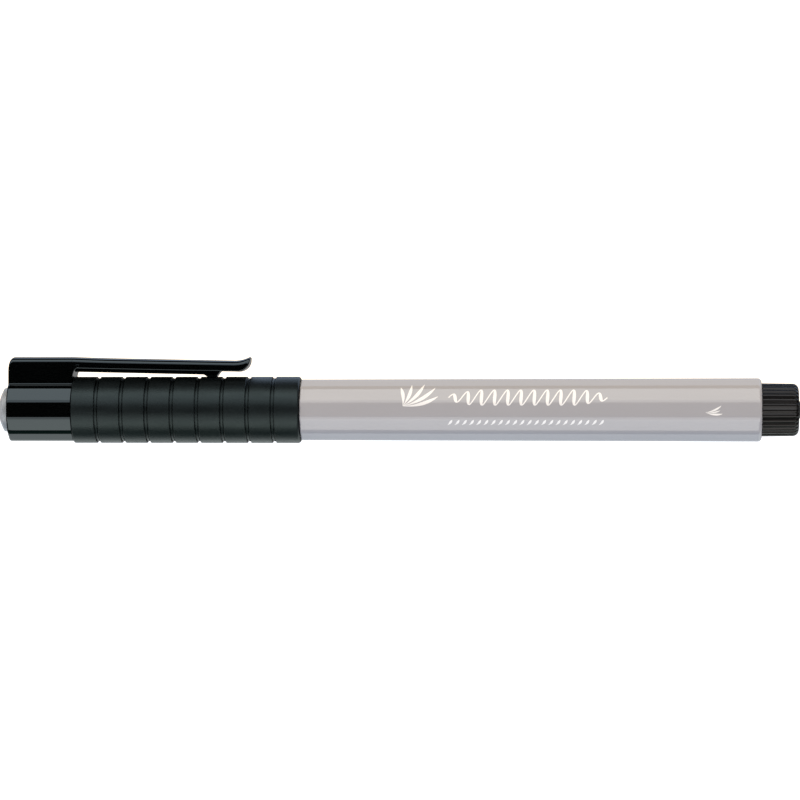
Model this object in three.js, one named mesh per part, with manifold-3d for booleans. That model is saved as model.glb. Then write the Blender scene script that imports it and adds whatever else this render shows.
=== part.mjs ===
// A capped brush-tip calligraphy marker, lying along X with its cap end at -X and its clip up.
// Millimetres, +Z up. The origin is under the middle of the pen, on the surface that it lies on.

import * as THREE from "three";
import { mergeVertices } from "three/addons/utils/BufferGeometryUtils.js";
import Module from "manifold-3d";

const wasm = await Module();
wasm.setup();

// ---- Driving dimensions ----

// Overall size: the ribbed sleeve is the widest round part, and the pen lies on it.
const LENGTH = 145;
const SLEEVE_RADIUS = 6;
const AXIS_HEIGHT = SLEEVE_RADIUS;

// Stations along X.
const CAP_TIP = -LENGTH / 2;
const CAP_END = CAP_TIP + 2.14;
const SLEEVE_START = CAP_TIP + 13.9;
const CAP_LIP = CAP_TIP + 55.17;
const BARREL_END = CAP_TIP + 138.05;
const TAIL_TIP = LENGTH / 2;

// Clearances: SEAM parts two pieces that move, SEAT two pieces pressed or pushed together.
const SEAM = 0.1;
const SEAT = 0.05;
const HINGE_GAP = 0.3;

// Faceted outlines of the barrel and the cap's end. Each apothem is from the axis to a flat.
const FACETS = 12;
const EDGE_RADIUS = 2.2;
const CAP_APOTHEM = 5.67;
const BARREL_FRONT_APOTHEM = 5.495;
const BARREL_TAIL_APOTHEM = 5.695;
const END_CHAMFER = 0.35;

// Round walls, as radii.
const BARREL_BORE = 4.5;
const CAP_TUBE_RADIUS = 5.1;
const CAP_TUBE_BORE = 4.55;
const LINER_RADIUS = 3.95;
const LINER_BORE = 3.3;
const PLUG_STEM_RADIUS = 3.3;

// The grip sleeve's grooves.
const GROOVES = 8;
const GROOVE_PITCH = 4.565;
const FIRST_GROOVE = SLEEVE_START + 4.47;
const GROOVE_WIDTH = 0.62;
const GROOVE_DEPTH = 0.35;

// The cap's colour plug and the barrel's tail plug.
const COLOUR_PLUG_RADIUS = 3.96;
const TAIL_PLUG_RADIUS = 4.665;
const TAIL_RIBS = 30;
const TAIL_RIB_DEPTH = 0.16;
const NUB_RADIUS = 1.65;
const NUB_HEIGHT = 0.3;

// The clip, with heights above the pen's axis.
const CLIP_WIDTH = 6.4;
const CLIP_TIP_WIDTH = 4.6;
const CLIP_RIB_WIDTH = 2.6;
const CLIP_BLOCK_TOP = 9.6;
const CLIP_BLOCK_CORNER = 0.9;
const CLIP_BLOCK_START = CAP_END + 0.02;
const CLIP_TIP = CAP_TIP + 46.02;
const HOOK_START = CAP_TIP + 37.64;
const HOOK_END = CAP_TIP + 40.63;

// The nose and the brush tip.
const LINER_START = CAP_TIP + 7.7;
const LINER_MOUTH = CAP_TIP + 33;
const NECK_RADIUS = 4.25;
const NECK_END = CAP_TIP + 42.5;
const MOUTH_RADIUS = 2.2;
const NOSE_TIP = CAP_TIP + 24;
const NIB_LENGTH = 7;
const NIB_RADIUS = 1.35;
const STEM_RADIUS = 1.05;

// The ink reservoir.
const RESERVOIR_START = CAP_LIP + 13.2;
const RESERVOIR_END = BARREL_END - 8;
const RESERVOIR_RADIUS = 3.85;
const WRAP_RADIUS = 4.1;
const STEM_END = RESERVOIR_START + 12;

// How far a cutting shape reaches past the face that it cuts.
const OVERRUN = 1;

// Steps round a circle: fine for what shows, coarse for what is hidden.
const FINE = 40;
const COARSE = 32;

// ---- Finishes ----

const finish = (colour, roughness, metalness = 0) =>
  new THREE.MeshStandardMaterial({ color: colour, roughness, metalness });

const FINISH = {
  barrel: finish(0xb4b0b2, 0.35),
  capGloss: finish(0x0a0c0c, 0.08),
  sleeve: finish(0x24282a, 0.6),
  tail: finish(0x2c2a2a, 0.45),
  colourPlug: finish(0x9a9a9c, 0.3),
  nose: finish(0x141414, 0.3),
  liner: finish(0xe6e4de, 0.4),
  nib: finish(0x6e6e72, 0.9),
  fibre: finish(0x77777c, 0.95),
  film: finish(0xd8d8d8, 0.3),
};

// ---- Shape tools ----

// Turns a profile about the pen's axis. Its points are [x, radius], listed towards +X along the
// outside, and it starts and ends on the axis or returns to its first point.
function turned(profile, steps = COARSE) {
  const points = profile.map(([x, radius]) => new THREE.Vector2(radius, x));
  return new THREE.LatheGeometry(points, steps).rotateZ(-Math.PI / 2);
}

// A turned profile whose radii are apothems of a regular polygon with rounded edges.
// Three points make each edge, and one flat faces straight up.
function faceted(profile) {
  const POINTS_PER_EDGE = 3;
  const geometry = turned(profile, FACETS * POINTS_PER_EDGE);
  const place = geometry.attributes.position;
  const halfTurn = Math.PI / FACETS;
  for (let i = 0; i < place.count; i++) {
    const apothem = Math.hypot(place.getY(i), place.getZ(i));
    if (apothem === 0) continue;
    const ring = Math.floor(i / profile.length);
    const edge = (2 * Math.floor(ring / POINTS_PER_EDGE) + 1) * halfTurn;
    const lean = ((ring % POINTS_PER_EDGE) - 1) * halfTurn;
    const rounding = Math.min(EDGE_RADIUS, apothem);
    const centre = (apothem - rounding) / Math.cos(halfTurn);
    place.setY(i, -centre * Math.sin(edge) - rounding * Math.sin(edge + lean));
    place.setZ(i, centre * Math.cos(edge) + rounding * Math.cos(edge + lean));
  }
  return geometry;
}

// Pushes every second line of a turned surface inwards, which leaves lengthwise ribs.
function ribbed(profile, ribs, depth, isRibbed) {
  const geometry = turned(profile, 2 * ribs);
  const place = geometry.attributes.position;
  for (let i = 0; i < place.count; i++) {
    const isValley = Math.floor(i / profile.length) % 2 === 1;
    if (!isValley || !isRibbed(i % profile.length)) continue;
    const radius = Math.hypot(place.getY(i), place.getZ(i));
    const shrink = (radius - depth) / radius;
    place.setY(i, place.getY(i) * shrink);
    place.setZ(i, place.getZ(i) * shrink);
  }
  return geometry;
}

// A plate across the pen: an outline in X and Z, given a width in Y centred on the axis.
function acrossPen(outline, width) {
  const shape = new THREE.Shape(outline.map(([x, z]) => new THREE.Vector2(x, z)));
  const geometry = new THREE.ExtrudeGeometry(shape, { depth: width, bevelEnabled: false });
  return geometry.translate(0, 0, -width / 2).rotateX(Math.PI / 2);
}

// Points on a circular arc, with angles in degrees from +X towards +Z.
function arc(x, z, radius, from, to, steps) {
  return Array.from({ length: steps + 1 }, (_, i) => {
    const angle = THREE.MathUtils.degToRad(from + ((to - from) * i) / steps);
    return [x + radius * Math.cos(angle), z + radius * Math.sin(angle)];
  });
}

// ---- Joining and cutting ----

function toSolid(geometry) {
  const bare = geometry.clone();
  bare.deleteAttribute("normal");
  bare.deleteAttribute("uv");
  const merged = mergeVertices(bare, 1e-4);
  return new wasm.Manifold(
    new wasm.Mesh({
      numProp: 3,
      vertProperties: new Float32Array(merged.attributes.position.array),
      triVerts: new Uint32Array(merged.index.array),
    }),
  );
}

function toGeometry(solid) {
  const mesh = solid.getMesh();
  const geometry = new THREE.BufferGeometry();
  geometry.setAttribute("position", new THREE.BufferAttribute(mesh.vertProperties, 3));
  geometry.setIndex(new THREE.BufferAttribute(mesh.triVerts, 1));
  return geometry;
}

const joined = (first, ...rest) =>
  toGeometry(rest.reduce((solid, next) => solid.add(toSolid(next)), toSolid(first)));

const cut = (first, ...rest) =>
  toGeometry(rest.reduce((solid, next) => solid.subtract(toSolid(next)), toSolid(first)));

// ---- Assembly ----

const marker = new THREE.Group();
const onAxis = new THREE.Group();
onAxis.position.z = AXIS_HEIGHT;
marker.add(onAxis);

function addPiece(name, geometry, material) {
  const piece = new THREE.Mesh(geometry, material);
  piece.name = name;
  onAxis.add(piece);
}

// ---- Barrel and its plugs ----

// A straight round bore runs right through the barrel's tapered, faceted outside.
function barrel() {
  const front = CAP_LIP + SEAM;
  const outside = faceted([
    [front, 0],
    [front, BARREL_FRONT_APOTHEM - END_CHAMFER],
    [front + END_CHAMFER, BARREL_FRONT_APOTHEM],
    [BARREL_END - END_CHAMFER, BARREL_TAIL_APOTHEM],
    [BARREL_END, BARREL_TAIL_APOTHEM - END_CHAMFER],
    [BARREL_END, 0],
  ]);
  const bore = turned([
    [front - OVERRUN, 0],
    [front - OVERRUN, BARREL_BORE],
    [BARREL_END + OVERRUN, BARREL_BORE],
    [BARREL_END + OVERRUN, 0],
  ]);
  addPiece("barrel", cut(outside, bore), FINISH.barrel);
}

// A ribbed head that stands out of the barrel, and a hollow spigot pressed into its bore.
function tailPlug() {
  const SPIGOT_LENGTH = 6.5;
  const SPIGOT_WALL = 0.85;
  const CORNER = 1.1;
  const HEAD_TAPER = 0.1;
  const NUB_TAPER = 0.2;
  const seat = BARREL_END + SEAT;
  const headEnd = TAIL_TIP - NUB_HEIGHT;
  const corner = arc(0, 0, CORNER, 90, 0, 3).map(([along, out]) => [
    headEnd - CORNER + along,
    TAIL_PLUG_RADIUS - HEAD_TAPER - CORNER + out,
  ]);
  const spigot = BARREL_BORE - SEAT;
  const profile = [
    [seat, 0],
    [seat, spigot - SPIGOT_WALL],
    [seat - SPIGOT_LENGTH, spigot - SPIGOT_WALL],
    [seat - SPIGOT_LENGTH, spigot],
    [seat, spigot],
    [seat, TAIL_PLUG_RADIUS],
    ...corner,
    [headEnd, NUB_RADIUS],
    [headEnd + NUB_HEIGHT, NUB_RADIUS - NUB_TAPER],
    [headEnd + NUB_HEIGHT, 0],
  ];
  const firstOnHead = 5;
  const lastOnHead = firstOnHead + corner.length - 1;
  const onHead = (point) => point >= firstOnHead && point <= lastOnHead;
  addPiece("tail_plug", ribbed(profile, TAIL_RIBS, TAIL_RIB_DEPTH, onHead), FINISH.tail);
}

// ---- Nose, brush tip and ink ----

// The nose: a plug in the barrel, a round neck with the cap's snap bead, and a cone to the tip.
function frontSection() {
  const PLUG_LENGTH = 12;
  const INK_SPACE_RADIUS = 3.5;
  const INK_SPACE_LENGTH = 7;
  const BEAD_RADIUS = CAP_TUBE_BORE - SEAM;
  const BEAD_SETBACK = 4;
  const BEAD_SLOPE = 1.6;
  const bead = CAP_LIP - BEAD_SETBACK;
  const plug = BARREL_BORE - SEAT;
  const plugEnd = CAP_LIP + PLUG_LENGTH;
  const stemHole = STEM_RADIUS + SEAT;
  addPiece(
    "front_section",
    turned([
      [NOSE_TIP, stemHole],
      [NOSE_TIP, MOUTH_RADIUS],
      [NECK_END, NECK_RADIUS],
      [bead - BEAD_SLOPE, NECK_RADIUS],
      [bead, BEAD_RADIUS],
      [bead + BEAD_SLOPE, NECK_RADIUS],
      [CAP_LIP, NECK_RADIUS],
      [CAP_LIP + SEAM, plug],
      [plugEnd, plug],
      [plugEnd, INK_SPACE_RADIUS],
      [plugEnd - INK_SPACE_LENGTH, INK_SPACE_RADIUS],
      [plugEnd - INK_SPACE_LENGTH, stemHole],
      [NOSE_TIP, stemHole],
    ]),
    FINISH.nose,
  );
}

// The soft tip stands just clear of the nose's mouth, so that it can bend there.
function brushNib() {
  const POINT_RADIUS = 0.16;
  const base = NOSE_TIP - HINGE_GAP;
  const point = NOSE_TIP - NIB_LENGTH;
  addPiece(
    "brush_nib",
    turned([
      [point, 0],
      [point + POINT_RADIUS, POINT_RADIUS],
      [point + 0.35 * NIB_LENGTH, 0.62 * NIB_RADIUS],
      [point + 0.65 * NIB_LENGTH, 0.93 * NIB_RADIUS],
      [base, NIB_RADIUS],
      [base, 0],
    ]),
    FINISH.nib,
  );
}

function nibStem() {
  const start = NOSE_TIP + SEAT;
  addPiece(
    "nib_stem",
    turned([[start, 0], [start, STEM_RADIUS], [STEM_END, STEM_RADIUS], [STEM_END, 0]]),
    FINISH.nib,
  );
}

// The fibre core has a blind hole in its front end, which the stem stands in.
function inkReservoir() {
  const STEM_CLEARANCE = 0.5;
  const hole = STEM_RADIUS + SEAT;
  const holeEnd = STEM_END + STEM_CLEARANCE;
  addPiece(
    "ink_reservoir",
    turned([
      [holeEnd, 0],
      [holeEnd, hole],
      [RESERVOIR_START, hole],
      [RESERVOIR_START, RESERVOIR_RADIUS],
      [RESERVOIR_END, RESERVOIR_RADIUS],
      [RESERVOIR_END, 0],
    ]),
    FINISH.fibre,
  );
}

function reservoirWrap() {
  const inside = RESERVOIR_RADIUS + SEAT;
  addPiece(
    "reservoir_wrap",
    turned([
      [RESERVOIR_START, inside],
      [RESERVOIR_START, WRAP_RADIUS],
      [RESERVOIR_END, WRAP_RADIUS],
      [RESERVOIR_END, inside],
      [RESERVOIR_START, inside],
    ]),
    FINISH.film,
  );
}

// ---- Cap ----

// The block that carries the clip: a bar with rounded top edges, sunk into the cap's top flats.
function clipBlock() {
  const ROOT = 4;
  const half = CLIP_WIDTH / 2;
  const inset = half - CLIP_BLOCK_CORNER;
  const level = CLIP_BLOCK_TOP - CLIP_BLOCK_CORNER;
  const outline = [
    [-half, ROOT],
    [half, ROOT],
    ...arc(inset, level, CLIP_BLOCK_CORNER, 0, 90, 4),
    ...arc(-inset, level, CLIP_BLOCK_CORNER, 90, 180, 4),
  ];
  const shape = new THREE.Shape(outline.map(([y, z]) => new THREE.Vector2(y, z)));
  const depth = SLEEVE_START - CLIP_BLOCK_START;
  return new THREE.ExtrudeGeometry(shape, { depth, bevelEnabled: false })
    .rotateX(Math.PI / 2)
    .rotateZ(Math.PI / 2)
    .translate(CLIP_BLOCK_START, 0, 0);
}

// The faceted end, the clip block and the plain tube under the sleeve, with one stepped bore.
function capShell() {
  const PLUG_HOLE = PLUG_STEM_RADIUS + SEAT;
  const BORE_STEP = 1;
  const linerHole = LINER_RADIUS + SEAT;
  const end = faceted([
    [CAP_END, 0],
    [CAP_END, CAP_APOTHEM - END_CHAMFER],
    [CAP_END + END_CHAMFER, CAP_APOTHEM],
    [SLEEVE_START, CAP_APOTHEM],
    [SLEEVE_START, 0],
  ]);
  const tube = turned([
    [SLEEVE_START - OVERRUN, 0],
    [SLEEVE_START - OVERRUN, CAP_TUBE_RADIUS],
    [CAP_LIP - SEAM, CAP_TUBE_RADIUS],
    [CAP_LIP - SEAM, 0],
  ]);
  const bore = turned([
    [CAP_END - OVERRUN, 0],
    [CAP_END - OVERRUN, PLUG_HOLE],
    [LINER_START - SEAT, PLUG_HOLE],
    [LINER_START - SEAT, linerHole],
    [LINER_MOUTH, linerHole],
    [LINER_MOUTH + BORE_STEP, CAP_TUBE_BORE],
    [CAP_LIP + OVERRUN, CAP_TUBE_BORE],
    [CAP_LIP + OVERRUN, 0],
  ]);
  addPiece("cap_shell", cut(joined(end, tube, clipBlock()), bore), FINISH.capGloss);
}

// A tube with evenly spaced square grooves round it.
function capSleeve() {
  const CORNER = 0.3;
  const inside = CAP_TUBE_RADIUS + SEAT;
  const floor = SLEEVE_RADIUS - GROOVE_DEPTH;
  const start = SLEEVE_START + SEAT;
  const grooves = Array.from({ length: GROOVES }, (_, i) => {
    const middle = FIRST_GROOVE + i * GROOVE_PITCH;
    const half = GROOVE_WIDTH / 2;
    return [
      [middle - half, SLEEVE_RADIUS],
      [middle - half, floor],
      [middle + half, floor],
      [middle + half, SLEEVE_RADIUS],
    ];
  }).flat();
  addPiece(
    "cap_sleeve",
    turned(
      [
        [start, inside],
        [start, SLEEVE_RADIUS - CORNER],
        [start + CORNER, SLEEVE_RADIUS],
        ...grooves,
        [CAP_LIP - CORNER, SLEEVE_RADIUS],
        [CAP_LIP, SLEEVE_RADIUS - CORNER],
        [CAP_LIP, inside],
        [start, inside],
      ],
      FINE,
    ),
    FINISH.sleeve,
  );
}

// A cup that closes over the nose, with its mouth towards the barrel.
function innerCap() {
  const END_WALL = 1;
  addPiece(
    "inner_cap",
    turned([
      [LINER_START, 0],
      [LINER_START, LINER_RADIUS],
      [LINER_MOUTH, LINER_RADIUS],
      [LINER_MOUTH, LINER_BORE],
      [LINER_START + END_WALL, LINER_BORE],
      [LINER_START + END_WALL, 0],
    ]),
    FINISH.liner,
  );
}

// A domed head with a soft rim, on a stem pressed into the cap.
function capEndPlug() {
  const DOME_RISE = 1;
  const DOME_STEPS = 5;
  const RIM = 0.3;
  const STEM_LENGTH = 4.5;
  const underside = CAP_END - SEAT;
  const domeRadius = COLOUR_PLUG_RADIUS - RIM;
  const dome = Array.from({ length: DOME_STEPS + 1 }, (_, i) => {
    const share = i / DOME_STEPS;
    return [CAP_TIP + DOME_RISE * share ** 2, domeRadius * share];
  });
  addPiece(
    "cap_end_plug",
    turned([
      ...dome,
      [CAP_TIP + DOME_RISE + RIM, COLOUR_PLUG_RADIUS],
      [underside, COLOUR_PLUG_RADIUS],
      [underside, PLUG_STEM_RADIUS],
      [CAP_END + STEM_LENGTH, PLUG_STEM_RADIUS],
      [CAP_END + STEM_LENGTH, 0],
    ]),
    FINISH.colourPlug,
  );
}

// ---- Clip arm ----

// The arm's plate in side view, with heights above the axis: it thins from its root to a point
// where it flicks up along an arc.
function plateOutline(root) {
  const WAIST = root + 20.3;
  const WAIST_UNDERSIDE = 7.02;
  const WAIST_TOP = 9.07;
  const ROOT_UNDERSIDE = 7.45;
  const ROOT_TOP = 9.5;
  const FLICK_RADIUS = 2.25;
  const FLICK_HEIGHT = 9.15;
  const FLICK_UNDERSIDE = 6.88;
  const flick = CLIP_TIP - FLICK_RADIUS;
  return [
    [root, ROOT_UNDERSIDE],
    [WAIST, WAIST_UNDERSIDE],
    [flick + 0.35, FLICK_UNDERSIDE],
    ...arc(flick, FLICK_HEIGHT, FLICK_RADIUS, -75, 0, 5),
    [CLIP_TIP - 0.1, 9.58],
    [CLIP_TIP - 0.8, 9.33],
    [CLIP_TIP - 2.9, 8.92],
    [WAIST, WAIST_TOP],
    [root, ROOT_TOP],
  ];
}

// The rib below the plate in side view. It ends in the hook that grips a pocket's edge.
function ribOutline(root) {
  const HOOK_TAPER = 1;
  const HOOK_BOTTOM = SLEEVE_RADIUS + SEAT;
  const ROOT_UNDERSIDE = 6.93;
  const HOOK_UNDERSIDE = 6.42;
  return [
    [root, ROOT_UNDERSIDE],
    [HOOK_START, HOOK_UNDERSIDE],
    [HOOK_START + HOOK_TAPER, HOOK_BOTTOM],
    [HOOK_END - HOOK_TAPER, HOOK_BOTTOM],
    [HOOK_END, HOOK_UNDERSIDE],
    [HOOK_END, 7.6],
    [root, 8.2],
  ];
}

// The springy arm: a narrowing plate, with a narrower rib and its hook sunk into the underside.
function clipArm() {
  const root = SLEEVE_START + HINGE_GAP;
  const plate = narrowed(acrossPen(plateOutline(root), CLIP_WIDTH), root, CLIP_TIP);
  const rib = acrossPen(ribOutline(root), CLIP_RIB_WIDTH);
  addPiece("clip_arm", joined(plate, rib), FINISH.capGloss);
}

// Narrows a piece evenly along X, from CLIP_WIDTH at its root to CLIP_TIP_WIDTH at its tip.
function narrowed(geometry, root, tip) {
  const place = geometry.attributes.position;
  for (let i = 0; i < place.count; i++) {
    const along = (place.getX(i) - root) / (tip - root);
    const width = THREE.MathUtils.lerp(CLIP_WIDTH, CLIP_TIP_WIDTH, along);
    place.setY(i, (place.getY(i) * width) / CLIP_WIDTH);
  }
  return geometry;
}

barrel();
tailPlug();
frontSection();
brushNib();
nibStem();
inkReservoir();
reservoirWrap();
capShell();
capSleeve();
innerCap();
capEndPlug();
clipArm();

export default marker;
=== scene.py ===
"""The looks of a capped brush-tip calligraphy marker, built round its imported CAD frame."""

import cmath
import math

import bmesh
import bpy
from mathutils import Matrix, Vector


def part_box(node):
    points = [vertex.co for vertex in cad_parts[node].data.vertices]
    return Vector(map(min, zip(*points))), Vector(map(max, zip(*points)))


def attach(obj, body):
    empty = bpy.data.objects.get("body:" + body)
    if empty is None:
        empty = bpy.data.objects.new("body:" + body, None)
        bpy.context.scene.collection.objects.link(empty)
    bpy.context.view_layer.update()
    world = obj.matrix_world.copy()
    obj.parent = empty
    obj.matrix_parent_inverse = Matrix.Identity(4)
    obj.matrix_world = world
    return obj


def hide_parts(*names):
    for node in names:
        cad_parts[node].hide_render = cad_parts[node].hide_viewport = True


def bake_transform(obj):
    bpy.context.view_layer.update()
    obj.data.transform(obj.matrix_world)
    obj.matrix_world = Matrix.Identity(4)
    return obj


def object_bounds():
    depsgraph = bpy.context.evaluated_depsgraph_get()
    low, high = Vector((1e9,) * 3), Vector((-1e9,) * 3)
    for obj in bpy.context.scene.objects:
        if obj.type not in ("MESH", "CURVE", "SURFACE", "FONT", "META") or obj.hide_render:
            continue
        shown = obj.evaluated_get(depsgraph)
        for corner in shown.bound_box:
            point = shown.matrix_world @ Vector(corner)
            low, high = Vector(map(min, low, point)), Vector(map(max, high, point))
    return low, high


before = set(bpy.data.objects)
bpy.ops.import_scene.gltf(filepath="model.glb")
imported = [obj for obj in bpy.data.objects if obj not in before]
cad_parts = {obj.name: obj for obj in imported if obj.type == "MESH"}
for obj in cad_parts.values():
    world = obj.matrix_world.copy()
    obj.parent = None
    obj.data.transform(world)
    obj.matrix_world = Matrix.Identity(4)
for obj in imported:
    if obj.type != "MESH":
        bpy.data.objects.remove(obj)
cad_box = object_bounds()

MM = 0.001

# ---- Places read from the frame ----

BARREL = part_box("barrel")
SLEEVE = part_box("cap_sleeve")
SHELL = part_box("cap_shell")
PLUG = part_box("cap_end_plug")
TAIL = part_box("tail_plug")
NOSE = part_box("front_section")
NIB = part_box("brush_nib")
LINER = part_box("inner_cap")
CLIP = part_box("clip_arm")

AXIS_Z = (SLEEVE[0].z + SLEEVE[1].z) / 2
SLEEVE_RADIUS = (SLEEVE[1].y - SLEEVE[0].y) / 2
BLOCK_FACE = SLEEVE[0].x - 0.05 * MM

# ---- Sizes that the frame's boxes don't give ----

FACETS = 12
EDGE_RADIUS = 2.2 * MM
CAP_APOTHEM = 5.67 * MM
BARREL_FRONT_APOTHEM = 5.495 * MM
BARREL_TAIL_APOTHEM = 5.695 * MM
BARREL_BORE = 4.5 * MM

TUBE_RADIUS = 5.1 * MM
TUBE_BORE = 4.55 * MM
LINER_HOLE = 4.0 * MM
LINER_BORE = 3.3 * MM
PLUG_STEM = 3.3 * MM
PLUG_HOLE = 3.35 * MM

GROOVES = 8
GROOVE_PITCH = 4.565 * MM
FIRST_GROOVE = 4.47 * MM
GROOVE_WIDTH = 0.68 * MM
GROOVE_DEPTH = 0.28 * MM
CHANNEL_WIDTH = 0.17 * MM

TAIL_RIBS = 30
TAIL_RIB_DEPTH = 0.17 * MM
TAIL_SWELL = 0.15 * MM
NUB_RADIUS = 1.65 * MM
NUB_HEIGHT = 0.3 * MM

CLIP_ROOT_HALF = 3.2 * MM
CLIP_TIP_HALF = 2.3 * MM
CLIP_RIB_HALF = 1.3 * MM
CLIP_TOP_FILLET = 0.9 * MM
CLIP_CROWN = 0.3 * MM

INK_LIFT = 0.012 * MM
INK_SINK = 0.03 * MM

# Heights on the clip arm are measured from the pen's axis.
ARM_TOP = 9.5 * MM
ARM_TOP_IN_BLOCK = 9.56 * MM
ARM_TOP_FALL = 0.58 * MM
ARM_ROOT_RISE = 0.1 * MM
ARM_ROOT_SHARE = 0.3
ARM_UNDER_ROOT = 7.46 * MM
ARM_UNDER_MIDDLE = 7.02 * MM
ARM_UNDER_TIP = 6.9 * MM
ARM_OVERLAP = 0.6 * MM
ARM_LOWER_FILLET = 0.22 * MM
FLICK_RADIUS = 2.25 * MM
FLICK_LENGTH = 2.72 * MM
FLICK_RISE = 0.68 * MM


# ---- Mesh tools ----


def rounded(corners, closed=False, steps=6):
    """Points [(u, v), ...] through corners (u, v, fillet). A corner with a fillet becomes an arc."""
    points = []
    last = len(corners) - 1
    for i, (u, v, fillet) in enumerate(corners):
        here = complex(u, v)
        if fillet == 0 or (not closed and i in (0, last)):
            points.append((u, v))
            continue
        before = complex(*corners[i - 1][:2])
        after = complex(*corners[(i + 1) % len(corners)][:2])
        into = (here - before) / abs(here - before)
        out = (after - here) / abs(after - here)
        turn = cmath.phase(out / into)
        start = here - into * fillet * math.tan(abs(turn) / 2)
        centre = start + into * complex(0, math.copysign(fillet, turn))
        for step in range(steps + 1):
            point = centre + (start - centre) * cmath.exp(1j * turn * step / steps)
            points.append((point.real, point.imag))
    return points


def add_shell(mesh, rings, loops=False):
    """Adds a closed shell through rings with equal numbers of points. A ring may be a single
    point. With loops, the last ring joins the first."""
    made = [[mesh.verts.new(point) for point in ring] for ring in rings]
    following = made[1:] + (made[:1] if loops else [])
    for ring, after in zip(made, following):
        count = max(len(ring), len(after))
        for i in range(count):
            j = (i + 1) % count
            corners = [ring[i % len(ring)], ring[j % len(ring)]]
            corners += [after[j % len(after)], after[i % len(after)]]
            mesh.faces.new(list(dict.fromkeys(corners)))


def add_slab(mesh, outline, half, fillet):
    """Adds an outline of (x, height over the axis), half to each side, with its edges filleted."""
    sides = []
    for y in (-half, half):
        ring = [mesh.verts.new((x, y, AXIS_Z + height)) for x, height in outline]
        sides.append(ring)
        mesh.faces.new(ring)
    edges = []
    for ring in sides:
        edges += [mesh.edges.get((ring[i - 1], ring[i])) for i in range(len(ring))]
    near, far = sides
    for i in range(len(outline)):
        mesh.faces.new((near[i - 1], near[i], far[i], far[i - 1]))
    bmesh.ops.recalc_face_normals(mesh, faces=mesh.faces)
    bmesh.ops.bevel(mesh, geom=edges, offset=fillet, segments=3, profile=0.5, affect="EDGES")


def finished(name, mesh):
    """Turns a bmesh into a smoothly shaded object."""
    bmesh.ops.recalc_face_normals(mesh, faces=mesh.faces)
    data = bpy.data.meshes.new(name)
    mesh.to_mesh(data)
    mesh.free()
    piece = bpy.data.objects.new(name, data)
    bpy.context.scene.collection.objects.link(piece)
    smooth(piece)
    return piece


def skin(name, rings, loops=False):
    mesh = bmesh.new()
    add_shell(mesh, rings, loops)
    return finished(name, mesh)


def smooth(piece, sharp_angle=math.radians(35)):
    """Smooth shading that keeps flats flat and real corners sharp."""
    piece.data.shade_smooth()
    piece.data.set_sharp_from_angle(angle=sharp_angle)
    weighted = piece.modifiers.new("weighted_normals", "WEIGHTED_NORMAL")
    weighted.keep_sharp = True


def at(x, outline):
    """A ring across the pen at x, from offsets (y, z) to the pen's axis."""
    return [Vector((x, y, AXIS_Z + z)) for y, z in outline]


def circle(radius, angles):
    return [(radius * math.sin(angle), radius * math.cos(angle)) for angle in angles]


def even_angles(steps):
    return [2 * math.pi * i / steps for i in range(steps)]


def polar_angles(outline):
    return [math.atan2(y, z) for y, z in outline]


def turned(name, profile, steps=128, loops=False):
    """A profile of (x, radius) turned round the pen's axis."""
    angles = even_angles(steps)
    rings = []
    for x, radius in profile:
        on_axis = radius < 1e-9
        rings.append(at(x, [(0, 0)] if on_axis else circle(radius, angles)))
    return skin(name, rings, loops)


def facet_corners(apothem, inset=0.0):
    """Corners of the faceted outline, clockwise from just right of the top, as (y, z, fillet)."""
    half = math.pi / FACETS
    reach = (apothem - inset) / math.cos(half)
    turns = [(2 * i + 1) * half for i in range(FACETS)]
    fillet = EDGE_RADIUS - inset
    return [(reach * math.sin(turn), reach * math.cos(turn), fillet) for turn in turns]


def facet_outline(apothem, inset=0.0):
    return rounded(facet_corners(apothem, inset), closed=True)


def dress(piece, material, slot, body, *nodes):
    """Gives a piece its finish and its CAD body, and hides the CAD nodes that it stands for."""
    piece.data.materials.append(material)
    if nodes:
        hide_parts(*nodes)
    if body:
        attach(piece, body)
    return piece


# ---- Material tools ----


def new_material(name):
    """A material with nothing but a Principled shader, and its node tree."""
    material = bpy.data.materials.new(name)
    material.use_nodes = True
    tree = material.node_tree
    shader = tree.nodes["Principled BSDF"]
    return material, tree, shader


def noise(tree, size_mm, stretch=(1, 1, 1), detail=2.0):
    """Noise whose blobs are size_mm across, longer by stretch along each axis."""
    place = tree.nodes.new("ShaderNodeTexCoord")
    mapping = tree.nodes.new("ShaderNodeMapping")
    texture = tree.nodes.new("ShaderNodeTexNoise")
    mapping.inputs["Scale"].default_value = [1 / (size_mm * MM * s) for s in stretch]
    texture.inputs["Scale"].default_value = 1.0
    texture.inputs["Detail"].default_value = detail
    tree.links.new(place.outputs["Object"], mapping.inputs["Vector"])
    tree.links.new(mapping.outputs["Vector"], texture.inputs["Vector"])
    return texture.outputs["Fac"]


def remap(tree, value, low, high, from_low=0.3, from_high=0.7):
    node = tree.nodes.new("ShaderNodeMapRange")
    node.inputs["From Min"].default_value = from_low
    node.inputs["From Max"].default_value = from_high
    node.inputs["To Min"].default_value = low
    node.inputs["To Max"].default_value = high
    tree.links.new(value, node.inputs["Value"])
    return node.outputs["Result"]


def mix_colour(tree, factor, dark, light):
    node = tree.nodes.new("ShaderNodeMix")
    node.data_type = "RGBA"
    node.inputs["A"].default_value = (*dark, 1)
    node.inputs["B"].default_value = (*light, 1)
    tree.links.new(factor, node.inputs["Factor"])
    return node.outputs["Result"]


def bump(tree, height, depth_mm, before=None):
    node = tree.nodes.new("ShaderNodeBump")
    node.inputs["Strength"].default_value = 1.0
    node.inputs["Distance"].default_value = depth_mm * MM
    tree.links.new(height, node.inputs["Height"])
    if before is not None:
        tree.links.new(before, node.inputs["Normal"])
    return node.outputs["Normal"]


def shade(colour, share):
    return tuple(channel * share for channel in colour)


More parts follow.
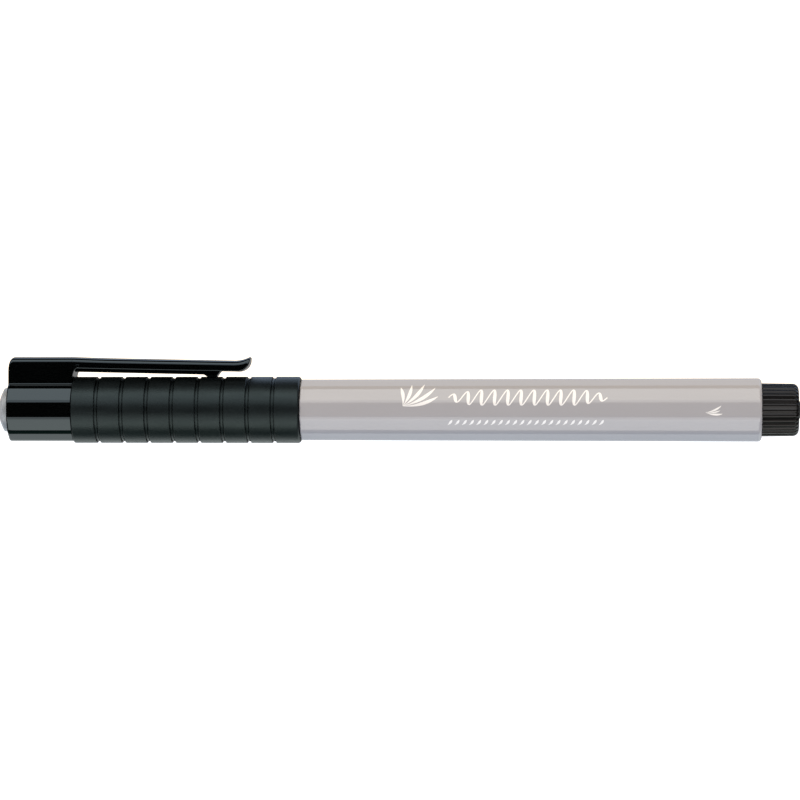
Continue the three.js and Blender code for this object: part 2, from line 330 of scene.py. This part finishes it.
def moulded_plastic(name, colour, roughness, grain_mm, grain_depth_mm, spread=0.05):
    """Plastic with a moulded grain and slightly uneven gloss and colour."""
    material, tree, shader = new_material(name)
    cloud = noise(tree, 3.0, (4, 1, 1))
    tone = remap(tree, cloud, 0, 1)
    tint = mix_colour(tree, tone, shade(colour, 1 - spread), shade(colour, 1 + spread))
    tree.links.new(tint, shader.inputs["Base Color"])
    patch = noise(tree, 0.8, (6, 1, 1), 4.0)
    gloss = remap(tree, patch, roughness * 0.88, roughness * 1.12)
    tree.links.new(gloss, shader.inputs["Roughness"])
    grain = noise(tree, grain_mm, (1, 1, 1), 3.0)
    tree.links.new(bump(tree, grain, grain_depth_mm), shader.inputs["Normal"])
    shader.inputs["IOR"].default_value = 1.5
    return material, shader


def tint_gloss(shader, level, colour):
    """Weakens or colours the reflections. A level of 0.5 is plain plastic."""
    shader.inputs["Specular IOR Level"].default_value = level
    shader.inputs["Specular Tint"].default_value = (*colour, 1)


# ---- Materials ----


def barrel_material():
    material, _ = moulded_plastic("barrel_grey", (0.265, 0.27, 0.297), 0.16, 0.3, 0.0004, 0.012)
    return material


def cap_material():
    material, shader = moulded_plastic(
        "cap_gloss_black", (0.0006, 0.0008, 0.0009), 0.05, 1.5, 0.0002, 0.1
    )
    tint_gloss(shader, 0.5, (0.63, 0.74, 0.8))
    return material


def sleeve_material():
    """Matte black with a fine mottled grain."""
    material, shader = moulded_plastic(
        "sleeve_matte_black", (0.0022, 0.0032, 0.0042), 0.37, 0.16, 0.016, 0.2
    )
    tint_gloss(shader, 0.25, (0.8, 1.0, 1.0))
    return material


def tail_material():
    material, shader = moulded_plastic(
        "tail_satin_black", (0.0024, 0.002, 0.002), 0.31, 0.06, 0.002, 0.1
    )
    tint_gloss(shader, 0.24, (1.0, 0.95, 0.95))
    return material


def colour_plug_material():
    material, _ = moulded_plastic("plug_grey", (0.222, 0.25, 0.284), 0.3, 0.08, 0.001, 0.02)
    return material


def nose_material():
    material, _ = moulded_plastic("nose_black", (0.006, 0.006, 0.006), 0.16, 0.3, 0.0006, 0.1)
    return material


def liner_material():
    """Milky polyethylene, which lets a little light in."""
    material, shader = moulded_plastic("liner_milky", (0.72, 0.7, 0.65), 0.35, 0.12, 0.002, 0.03)
    shader.inputs["Subsurface Weight"].default_value = 0.3
    shader.inputs["Subsurface Radius"].default_value = (0.001, 0.0009, 0.0007)
    return material


def fibre_material(name, dark, light):
    """Fine fibres that run along the pen."""
    material, tree, shader = new_material(name)
    strands = noise(tree, 0.05, (60, 1, 1), 3.0)
    tint = mix_colour(tree, remap(tree, strands, 0, 1), dark, light)
    tree.links.new(tint, shader.inputs["Base Color"])
    tree.links.new(bump(tree, strands, 0.03), shader.inputs["Normal"])
    shader.inputs["Roughness"].default_value = 0.8
    return material


def film_material():
    """Thin clear wrap with lengthwise creases."""
    material, tree, shader = new_material("wrap_film")
    creases = noise(tree, 0.5, (30, 1, 1), 2.0)
    fold = remap(tree, creases, 0, 1)
    tint = mix_colour(tree, fold, (0.55, 0.55, 0.56), (0.7, 0.7, 0.7))
    tree.links.new(tint, shader.inputs["Base Color"])
    tree.links.new(bump(tree, creases, 0.03), shader.inputs["Normal"])
    shader.inputs["Roughness"].default_value = 0.18
    return material


def ink_print_material():
    """White pad-printed ink, a little uneven in cover."""
    material, tree, shader = new_material("print_white")
    cover = noise(tree, 0.12, (1, 1, 1), 3.0)
    density = remap(tree, cover, 0, 1)
    tint = mix_colour(tree, density, (0.56, 0.57, 0.59), (0.62, 0.63, 0.65))
    tree.links.new(tint, shader.inputs["Base Color"])
    tree.links.new(bump(tree, cover, 0.002), shader.inputs["Normal"])
    shader.inputs["Roughness"].default_value = 0.4
    return material


# ---- Barrel and tail plug ----


def barrel_apothem(x):
    share = (x - BARREL[0].x) / (BARREL[1].x - BARREL[0].x)
    return BARREL_FRONT_APOTHEM + share * (BARREL_TAIL_APOTHEM - BARREL_FRONT_APOTHEM)


def make_barrel(material):
    """A faceted tube, slightly fatter at its tail, with softly rounded ends."""
    front, end = BARREL[0].x, BARREL[1].x
    shoulder = barrel_apothem(end)
    bevel_length, bevel_depth = 0.32 * MM, 0.6 * MM
    profile = rounded(
        [
            (front, BARREL_BORE, 0),
            (front, barrel_apothem(front), 0.3 * MM),
            (end - bevel_length, shoulder, 0.6 * MM),
            (end, shoulder - bevel_depth, 0.2 * MM),
            (end, BARREL_BORE, 0),
        ]
    )
    angles = polar_angles(facet_outline(BARREL_FRONT_APOTHEM))
    rings = [at(x, facet_outline(apothem)) for x, apothem in profile[1:-1]]
    rings.insert(0, at(front, circle(BARREL_BORE, angles)))
    rings.append(at(end, circle(BARREL_BORE, angles)))
    dress(skin("barrel_tube", rings, loops=True), material, "barrel", "pen", "barrel")


def make_tail_plug(material):
    """A ribbed head on a hollow spigot. The ribs fade out over the head's rounded corner."""
    seat = BARREL[1].x + 0.03 * MM
    spigot_end = TAIL[0].x
    head_end = TAIL[1].x - NUB_HEIGHT
    head_radius = (TAIL[1].y - TAIL[0].y) / 2 + TAIL_SWELL
    spigot = BARREL_BORE - 0.05 * MM
    wall, end_wall = 0.85 * MM, 0.3 * MM
    head_taper, nub_taper = 0.08 * MM, 0.15 * MM
    nub_end = head_end + NUB_HEIGHT
    head = rounded(
        [
            (seat, spigot, 0),
            (seat, head_radius, 0.12 * MM),
            (head_end, head_radius - head_taper, 1.1 * MM),
            (head_end, NUB_RADIUS, 0.08 * MM),
            (nub_end, NUB_RADIUS - nub_taper, 0.15 * MM),
            (nub_end, 0, 0),
        ]
    )
    inside = [
        (seat + end_wall, 0),
        (seat + end_wall, spigot - wall),
        (spigot_end, spigot - wall),
        (spigot_end, spigot),
    ]
    angles = even_angles(TAIL_RIBS * 8)
    rib_turn = math.radians(4.5)
    fade_start = head_radius - 1.2 * MM
    fade_reach = 0.9 * MM
    rings = []
    for x, radius in inside + head:
        if radius < 1e-9:
            rings.append(at(x, [(0, 0)]))
            continue
        on_side = x >= seat and radius > fade_start
        fade = min(1, (radius - fade_start) / fade_reach) if on_side else 0
        depth = TAIL_RIB_DEPTH * fade
        outline = []
        for angle in angles:
            valley = (0.5 - 0.5 * math.cos(TAIL_RIBS * (angle - rib_turn))) ** 2
            outline += circle(radius - depth * valley, [angle])
        rings.append(at(x, outline))
    dress(skin("tail_plug_ribbed", rings), material, "tail_plug", "pen", "tail_plug")


# ---- Nose and brush tip ----


def make_nose(material):
    """The nose under the cap: plug, snap bead, neck and cone, with a lip round the tip's hole."""
    tip, plug_end = NOSE[0].x, NOSE[1].x
    lip = BARREL[0].x
    neck = 4.25 * MM
    bead = 4.45 * MM
    bead_x = lip - 4.1 * MM
    bead_half, bead_reach = 0.3 * MM, 1.2 * MM
    cone_end = cad_box[0].x + 42.5 * MM
    mouth, mouth_rim = 1.1 * MM, 2.2 * MM
    plug = BARREL_BORE - 0.05 * MM
    ink_space = 3.5 * MM
    ink_space_start = plug_end - 7 * MM
    profile = rounded(
        [
            (tip, mouth, 0),
            (tip, mouth_rim, 0.35 * MM),
            (cone_end, neck, 2 * MM),
            (bead_x - bead_reach, neck, 0.6 * MM),
            (bead_x - bead_half, bead, 0.5 * MM),
            (bead_x + bead_half, bead, 0.5 * MM),
            (bead_x + bead_reach, neck, 0.6 * MM),
            (lip - 0.1 * MM, neck, 0),
            (lip, plug, 0),
            (plug_end, plug, 0.2 * MM),
            (plug_end, ink_space, 0),
            (ink_space_start, ink_space, 0),
            (ink_space_start, mouth, 0),
        ]
    )
    piece = turned("nose_section", profile, loops=True)
    dress(piece, material, "nose", "pen", "front_section")


def make_nib(material):
    """The soft tip: a full round base that draws in to a fine point, bending smoothly."""
    point, base = NIB[0].x, NIB[1].x
    length = base - point
    radius = (NIB[1].y - NIB[0].y) / 2
    foot = 1.0 * MM
    steps = 36
    profile = [(point, 0)]
    for i in range(1, steps + 1):
        share = i / steps
        swell = share ** 0.75 * (1.35 - 0.35 * share)
        profile.append((point + share * length, radius * min(1, swell)))
    hole = NOSE[0].x + 0.04 * MM
    profile += [(base + 0.1 * MM, radius - 0.05 * MM), (base + 0.15 * MM, foot)]
    profile += [(hole, foot), (hole, 0)]
    piece = turned("brush_tip", profile, 64)
    dress(piece, material, "nib", None, "brush_nib")
    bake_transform(piece)


# ---- Cap ----


def crowned_top(half, top, fillet):
    """The clip's top in a cut across the pen: slightly crowned between two filleted corners."""
    corners = [(-half, top - CLIP_CROWN, fillet)]
    for share in (-0.5, -0.3, -0.1, 0.1, 0.3, 0.5):
        corners.append((half * share, top - CLIP_CROWN * share**2, 0))
    return corners + [(half, top - CLIP_CROWN, fillet)]


def cap_outline(inset=0.0, drop=0.0):
    """The faceted end and the clip block on top of it, as one outline with filleted corners."""
    half = CLIP_ROOT_HALF - inset
    top = SHELL[1].z - AXIS_Z - max(inset, drop)
    slope = 2 * math.pi / FACETS
    apothem = CAP_APOTHEM - inset
    foot = (apothem - half * math.sin(slope)) / math.cos(slope)
    inner, outer = 0.22 * MM + inset, CLIP_TOP_FILLET - inset
    block = [(-half, foot, inner)] + crowned_top(half, top, outer) + [(half, foot, inner)]
    facets = facet_corners(CAP_APOTHEM, inset)[1:-1]
    return rounded(block + facets, closed=True)


def corner_drop(distance, width, height):
    """How far an oval corner falls short of its flat, at a distance in from its end."""
    if distance >= width:
        return 0.0
    return height * (1 - math.sqrt(1 - (1 - distance / width) ** 2))


def make_cap_shell(material):
    """Faceted end, clip block, plain tube under the sleeve and stepped bore, as one moulding."""
    start, shoulder, lip = SHELL[0].x, BLOCK_FACE, SHELL[1].x
    liner_start, liner_end = LINER[0].x - 0.05 * MM, LINER[1].x
    end_corner, lip_bevel = 0.35 * MM, 0.15 * MM
    block_corner_width, block_corner_height = 0.95 * MM, 1.9 * MM
    angles = polar_angles(cap_outline())
    rings = [at(start, circle(PLUG_HOLE, angles))]
    steps = 16
    for i in range(steps + 1):
        distance = block_corner_width * (i / steps) ** 2
        inset = corner_drop(distance, end_corner, end_corner)
        drop = corner_drop(distance, block_corner_width, block_corner_height)
        rings.append(at(start + distance, cap_outline(inset, drop)))
    rings.append(at(shoulder - 0.1 * MM, cap_outline()))
    rings.append(at(shoulder, cap_outline(0.08 * MM)))
    bore = [
        (shoulder, TUBE_RADIUS),
        (lip - lip_bevel, TUBE_RADIUS),
        (lip, TUBE_RADIUS - lip_bevel),
        (lip, TUBE_BORE + lip_bevel),
        (lip - 0.3 * MM, TUBE_BORE),
        (liner_end + 1 * MM, TUBE_BORE),
        (liner_end, LINER_HOLE),
        (liner_start, LINER_HOLE),
        (liner_start, PLUG_HOLE),
    ]
    rings += [at(x, circle(radius, angles)) for x, radius in bore]
    piece = skin("cap_body", rings, loops=True)
    dress(piece, material, "cap_gloss", "cap", "cap_shell")


def make_sleeve(material):
    """The grip sleeve. Each groove between its bands has a raised floor between two channels."""
    start, end = SLEEVE[0].x, SLEEVE[1].x
    inside = TUBE_RADIUS + 0.03 * MM
    shoulder, crease = 0.12 * MM, 0.03 * MM
    floor = SLEEVE_RADIUS - GROOVE_DEPTH
    channel = floor - 0.25 * MM
    half = GROOVE_WIDTH / 2
    ridge = half - CHANNEL_WIDTH
    corners = [(start, inside, 0), (start, SLEEVE_RADIUS, 0.15 * MM)]
    for i in range(GROOVES):
        middle = start + FIRST_GROOVE + i * GROOVE_PITCH
        corners += [
            (middle - half, SLEEVE_RADIUS, shoulder),
            (middle - half, channel, crease),
            (middle - ridge, channel, crease),
            (middle - ridge, floor, crease),
            (middle + ridge, floor, crease),
            (middle + ridge, channel, crease),
            (middle + half, channel, crease),
            (middle + half, SLEEVE_RADIUS, shoulder),
        ]
    corners += [(end, SLEEVE_RADIUS, 0.5 * MM), (end, inside, 0)]
    piece = turned("grip_sleeve", rounded(corners, steps=3), 160, loops=True)
    dress(piece, material, "sleeve", "cap", "cap_sleeve")


def make_liner(material):
    """The inner cap that seals over the nose, with a rounded mouth."""
    start, mouth = LINER[0].x, LINER[1].x
    radius = (LINER[1].y - LINER[0].y) / 2
    floor = start + 1 * MM
    profile = rounded(
        [
            (start, 0, 0),
            (start, radius, 0.3 * MM),
            (mouth, radius, 0.15 * MM),
            (mouth, LINER_BORE, 0.2 * MM),
            (floor, LINER_BORE, 0.8 * MM),
            (floor, 0, 0),
        ]
    )
    dress(turned("cap_liner_cup", profile, 96), material, "liner", "cap_liner", "inner_cap")


def make_colour_plug(material):
    """The grey end plug: a domed button with a soft rim, on its stem."""
    tip, stem_end = PLUG[0].x, PLUG[1].x
    radius = (PLUG[1].y - PLUG[0].y) / 2
    under = SHELL[0].x - 0.03 * MM
    rise, rim = 1.0 * MM, 0.25 * MM
    steps = 14
    dome = [(tip + rise * (i / steps) ** 2, (radius - rim) * i / steps) for i in range(steps + 1)]
    edge = rounded(
        [
            (*dome[-2], 0),
            (tip + rise + 0.1 * MM, radius, 0.35 * MM),
            (under, radius, 0.08 * MM),
            (under, PLUG_STEM, 0),
            (stem_end, PLUG_STEM, 0.3 * MM),
            (stem_end, 0, 0),
        ],
        steps=8,
    )
    piece = turned("colour_plug", dome[:-2] + edge)
    dress(piece, material, "colour_plug", "cap", "cap_end_plug")


# ---- Clip ----


def along(line, x):
    """The value at x on a line of points (x, value)."""
    for (x0, v0), (x1, v1) in zip(line, line[1:]):
        if x <= x1:
            return v0 + (v1 - v0) * (x - x0) / (x1 - x0)
    return line[-1][1]


def clip_top(x, face, flick):
    """The arm leaves the block flush with its top and runs down to where it flicks up."""
    share = (x - face) / (flick - face)
    near_root = max(0, 1 - max(0, share) / ARM_ROOT_SHARE)
    return ARM_TOP - ARM_TOP_FALL * share + ARM_ROOT_RISE * near_root**2


def plate_ring(top, low, half, lower):
    """A cut across the arm's plate: a bar with wide fillets above and smaller ones below."""
    up = Vector((top[0] - low[0], 0, top[1] - low[1]))
    thick = up.length
    up.normalize()
    upper = min(CLIP_TOP_FILLET, 0.5 * thick)
    corners = [(-half, 0, lower)] + crowned_top(half, thick, upper) + [(half, 0, lower)]
    foot = Vector((low[0], 0, AXIS_Z + low[1]))
    outline = rounded(corners, closed=True, steps=7)
    return [foot + Vector((0, y, 0)) + up * height for y, height in outline]


def plate_rings():
    """Cuts along the plate, first down its length and then round the flicked-up tip."""
    face, tip = BLOCK_FACE, CLIP[1].x
    root = face - ARM_OVERLAP
    flick = tip - FLICK_RADIUS
    flick_start = flick - 0.6 * MM
    under = [
        (root, ARM_UNDER_ROOT),
        (face + 21 * MM, ARM_UNDER_MIDDLE),
        (flick + 0.1 * MM, ARM_UNDER_TIP),
    ]

    def half(x):
        return CLIP_ROOT_HALF + (x - root) / (tip - root) * (CLIP_TIP_HALF - CLIP_ROOT_HALF)

    rings = []
    steps = 40
    for i in range(steps + 1):
        x = root + (flick_start - root) * i / steps
        inside = 0.03 * MM if x < face else 0.0
        top = clip_top(x, face, flick) if x > face else ARM_TOP_IN_BLOCK
        low = (x, along(under, x))
        rings.append(plate_ring((x, top), low, half(x) - inside, ARM_LOWER_FILLET))
    start_top = clip_top(flick_start, face, flick)
    curl_centre = 9.13 * MM
    steps = 16
    for i in range(1, steps + 1):
        share = i / steps
        angle = math.radians(-96 + 101 * share)
        curl_x = flick + FLICK_RADIUS * math.cos(angle)
        low = (curl_x, curl_centre + FLICK_RADIUS * math.sin(angle))
        high = (flick_start + FLICK_LENGTH * share, start_top + FLICK_RISE * share**2)
        narrowing = math.sqrt(1 - (0.8 * share**2) ** 2)
        rings.append(plate_ring(high, low, half(curl_x) * narrowing, ARM_LOWER_FILLET))
    return rings


def clip_rib_outline():
    """The narrow rib under the plate, with the hook that grips a pocket's edge."""
    root = BLOCK_FACE - 0.3 * MM
    hook = CLIP[1].x - 5.39 * MM
    low = SLEEVE_RADIUS - 0.01 * MM
    return rounded(
        [
            (root, 6.88 * MM, 0),
            (hook - 3.05 * MM, 6.36 * MM, 0.4 * MM),
            (hook - 2.45 * MM, low, 0.2 * MM),
            (hook - 0.75 * MM, low, 0.25 * MM),
            (hook, 6.95 * MM, 0.3 * MM),
            (hook, 7.6 * MM, 0),
            (root, 8.2 * MM, 0),
        ]
    )


def clip_gusset_outline():
    """The curve that joins the arm's underside to the block's face."""
    root = BLOCK_FACE - 0.3 * MM
    reach, low, high, hidden = 1.2 * MM, 5.8 * MM, 7.62 * MM, 8.2 * MM
    steps = 8
    curve = []
    for i in range(steps + 1):
        angle = math.pi / 2 * i / steps
        x = BLOCK_FACE + reach * (1 - math.sin(angle))
        curve.append((x, high - (high - low) * (1 - math.cos(angle))))
    return curve + [(root, low), (root, hidden), (BLOCK_FACE + reach, hidden)]


def make_clip(material):
    """The springy arm, which leaves the block, carries the hook and flicks up at its tip."""
    mesh = bmesh.new()
    rings = plate_rings()
    first = sum(rings[0], Vector()) / len(rings[0])
    last = sum(rings[-1], Vector()) / len(rings[-1])
    add_shell(mesh, [[first]] + rings + [[last]])
    add_slab(mesh, clip_rib_outline(), CLIP_RIB_HALF, 0.15 * MM)
    add_slab(mesh, clip_gusset_outline(), CLIP_ROOT_HALF - 0.02 * MM, 0.12 * MM)
    piece = finished("clip_arm_sprung", mesh)
    dress(piece, material, "cap_gloss", None, "clip_arm")
    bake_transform(piece)


# ---- Printed marks ----


def front_line(x):
    """The barrel's front at x, from low to high, as (height over the axis, y)."""
    return sorted((z, y) for y, z in facet_outline(barrel_apothem(x)) if y <= 0)


def printed_stroke(mesh, path, across=4):
    """Adds one inked stroke on the barrel's front. Its path is [(x, height, width), ...]."""
    lift, sink = INK_LIFT, INK_SINK
    grid = []
    for i, (x, height, width) in enumerate(path):
        x0, h0, _ = path[max(i - 1, 0)]
        x1, h1, _ = path[min(i + 1, len(path) - 1)]
        length = math.hypot(x1 - x0, h1 - h0)
        side = (-(h1 - h0) / length, (x1 - x0) / length)
        front = front_line(x)
        upper, lower = [], []
        for j in range(across + 1):
            offset = (j / across - 0.5) * width
            place_x, place_z = x + side[0] * offset, height + side[1] * offset
            y = along(front, place_z)
            upper.append(mesh.verts.new((place_x, y - lift, AXIS_Z + place_z)))
            lower.append(mesh.verts.new((place_x, y + sink, AXIS_Z + place_z)))
        grid.append(upper + lower[::-1])
    for ring, after in zip(grid, grid[1:]):
        for i in range(len(ring)):
            j = (i + 1) % len(ring)
            mesh.faces.new((ring[i], ring[j], after[j], after[i]))
    mesh.faces.new(grid[0])
    mesh.faces.new(grid[-1])


def dab(start, length, turn, widest, steps=32):
    """A brush dab in millimetres: it lands thin, swells and lifts off. Turn is in degrees."""
    direction = cmath.rect(1, math.radians(turn))
    path = []
    for i in range(steps + 1):
        share = i / steps
        bend = cmath.rect(1, math.radians(18 * (share - 0.5)))
        place = complex(*start) + direction * bend * length * share
        width = widest * (0.12 + 0.88 * math.sin(math.pi * share**1.5))
        path.append((place.real, place.imag, width))
    return path


def wave(start, end, height, rise, periods, thin, thick):
    """A row of leaning waves in millimetres, thin on the way up and thick on the way down."""
    lean = 0.35
    steps = periods * 20
    path = []
    for i in range(steps + 1):
        share = i / steps
        turn = 2 * math.pi * periods * share
        taper = min(1, 0.35 + 4 * share, 0.35 + 4 * (1 - share))
        up = rise * taper * math.sin(turn)
        down = max(0, -math.cos(turn))
        width = thin + (thick - thin) * down**0.8
        path.append((start + (end - start) * share + lean * up, height + up, width))
    return path


def make_prints(material):
    """Generic white ornaments: a fan of dabs, a wave, a row of drops and a small brush tip."""
    mesh = bmesh.new()
    middle = (cad_box[0].x + cad_box[1].x) / 2

    def ink(path):
        printed_stroke(mesh, [(middle + x * MM, z * MM, width * MM) for x, z, width in path])

    fan_foot = (1.4, 0.7)
    for turn, length in ((6, 6.5), (20, 6.6), (36, 5.4), (58, 4.0), (88, 3.3)):
        ink(dab(fan_foot, length, turn, 0.62))

    ink(wave(9.6, 38.0, height=2.2, rise=1.35, periods=12, thin=0.22, thick=0.6))

    drops, first_drop, drop_pitch, drop_height = 22, 9.4, 1.29, -2.7
    for i in range(drops):
        ink(dab((first_drop + i * drop_pitch, drop_height), 1.25, 38, 0.42, 12))

    tip_x, tip_height = 55.5, -0.45
    for turn in (-14, 14):
        ink(dab((tip_x, tip_height), 3.0, turn, 0.34))
    ink(dab((tip_x + 0.4, tip_height), 2.2, 0, 0.24))
    dress(finished("print_marks", mesh), material, "barrel", "pen")


# ---- Studio ----


def make_floor():
    """A wide pale floor that glows a little, and that the pen's gloss doesn't mirror."""
    half = 4.0
    data = bpy.data.meshes.new("floor")
    corners = [(-half, -half, 0), (half, -half, 0), (half, half, 0), (-half, half, 0)]
    data.from_pydata(corners, [], [(0, 1, 2, 3)])
    floor = bpy.data.objects.new("floor", data)
    bpy.context.scene.collection.objects.link(floor)
    floor.location.z = -0.02 * MM
    floor.visible_glossy = False
    floor.visible_shadow = False
    material, _, shader = new_material("floor_white")
    shader.inputs["Base Color"].default_value = (0.25, 0.27, 0.32, 1)
    shader.inputs["Roughness"].default_value = 0.9
    shader.inputs["Specular IOR Level"].default_value = 0.0
    shader.inputs["Emission Color"].default_value = (0.9, 0.93, 1.0, 1)
    shader.inputs["Emission Strength"].default_value = 1.02
    data.materials.append(material)


def make_strip_light(name, low, high, radiance):
    """A long softbox along the pen, seen only in its gloss, between two elevations in degrees.
    Elevation 0 is level on the camera's side, 90 overhead, 180 level behind, -90 underneath."""
    distance, length = 1.0, 3.0
    height = 2 * distance * math.tan(math.radians(high - low) / 2)
    rise = math.radians((low + high) / 2)
    peak = max(radiance)
    light = bpy.data.lights.new(name, "AREA")
    light.shape = "RECTANGLE"
    light.size, light.size_y = length, height
    light.color = [channel / peak for channel in radiance]
    light.energy = math.pi * length * height * peak
    lamp = bpy.data.objects.new(name, light)
    bpy.context.scene.collection.objects.link(lamp)
    lamp.location = (0, -distance * math.cos(rise), AXIS_Z + distance * math.sin(rise))
    lamp.rotation_euler = (math.pi / 2 - rise, 0, 0)
    lamp.visible_camera = False
    lamp.visible_diffuse = False


def make_world():
    """A bright white room for the camera and for soft light, which the gloss doesn't mirror."""
    world = bpy.data.worlds.new("studio")
    bpy.context.scene.world = world
    world.use_nodes = True
    world.node_tree.nodes["Background"].inputs["Color"].default_value = (1.9, 1.65, 1.35, 1)
    world.cycles_visibility.glossy = False


def make_camera():
    """Level with the pen, a few degrees round towards its tail, with a long lens."""
    azimuth = math.radians(3.8)
    distance = 0.669
    middle = (cad_box[0].x + cad_box[1].x) / 2
    aim = Vector((middle + 0.56 * MM, 0, AXIS_Z + 1.77 * MM))
    data = bpy.data.cameras.new("camera")
    data.sensor_width = 36.0
    data.lens = 166.7
    data.clip_start = 0.01
    data.clip_end = 100.0
    camera = bpy.data.objects.new("camera", data)
    bpy.context.scene.collection.objects.link(camera)
    back = Vector((math.sin(azimuth), -math.cos(azimuth), 0))
    camera.location = aim + back * distance
    camera.rotation_euler = back.to_track_quat("Z", "Y").to_euler()
    bpy.context.scene.camera = camera


# ---- Build ----

make_camera()
make_world()
make_floor()
make_strip_light("front_high", 44, 71, (3.15, 3.3, 3.3))
make_strip_light("front_high_inner", 22, 44, (2.1, 2.2, 2.3))
make_strip_light("front_low_inner", -42, -21, (2.3, 2.3, 2.25))
make_strip_light("front_low", -64, -42, (3.5, 3.55, 3.35))
make_strip_light("under", -112, -66, (0.06, 0.15, 0.12))
make_strip_light("back_high", 112, 158, (0.8, 1.0, 1.3))
make_strip_light("back_low", -158, -112, (1.3, 1.42, 1.4))
make_strip_light("back_level", 158, 202, (0.4, 0.4, 0.4))

black_gloss = cap_material()
nib_fibre = fibre_material("tip_fibre", (0.07, 0.07, 0.075), (0.2, 0.2, 0.21))
core_fibre = fibre_material("core_fibre", (0.1, 0.1, 0.11), (0.3, 0.3, 0.32))

make_barrel(barrel_material())
make_tail_plug(tail_material())
make_nose(nose_material())
make_nib(nib_fibre)
make_cap_shell(black_gloss)
make_sleeve(sleeve_material())
make_liner(liner_material())
make_colour_plug(colour_plug_material())
make_clip(black_gloss)
make_prints(ink_print_material())

for node, material in (
    ("nib_stem", nib_fibre),
    ("ink_reservoir", core_fibre),
    ("reservoir_wrap", film_material()),
):
    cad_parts[node].material_slots[0].material = material

bpy.context.scene.view_settings.view_transform = "Standard"
